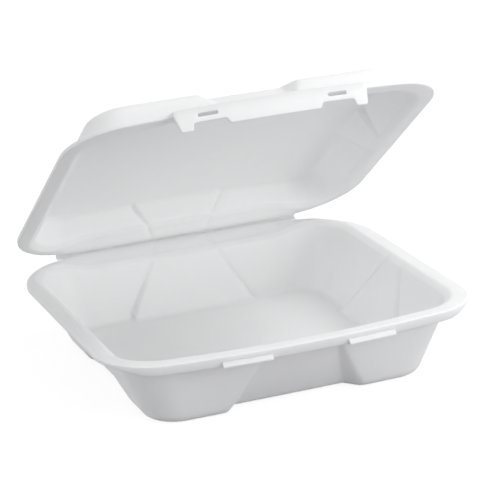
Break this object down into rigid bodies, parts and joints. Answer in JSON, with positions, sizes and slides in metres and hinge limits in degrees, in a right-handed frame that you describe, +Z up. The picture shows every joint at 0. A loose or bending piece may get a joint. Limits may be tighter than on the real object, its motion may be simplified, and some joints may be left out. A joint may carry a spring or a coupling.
{
  "type": "foam clamshell container",
  "caption": "White foam takeaway clamshell: a deep base tray and a shallower lid joined by a full-width living hinge, with a lip that slips over lugs on the front rim.",
  "frame": {"origin": "middle of the base's flat underside, where it rests on the table", "axes": "+X along the hinge, to the right seen from the front; +Y from the front lip towards the hinge; +Z up"},
  "size_m": [0.236, 0.2283, 0.1848],
  "materials": {
    "foam": "smooth skinned foam, faintly satin"
  },
  "bodies": {
    "base": {"base": "foam"},
    "lid": {"lid": "foam"}
  },
  "joints": [
    {"name": "lid_hinge", "type": "hinge", "parent": "base", "child": "lid", "pos_m": [0, 0.10895, 0.04715], "axis": [-1, 0, 0], "range_deg": [-36, 144]}
  ]
}
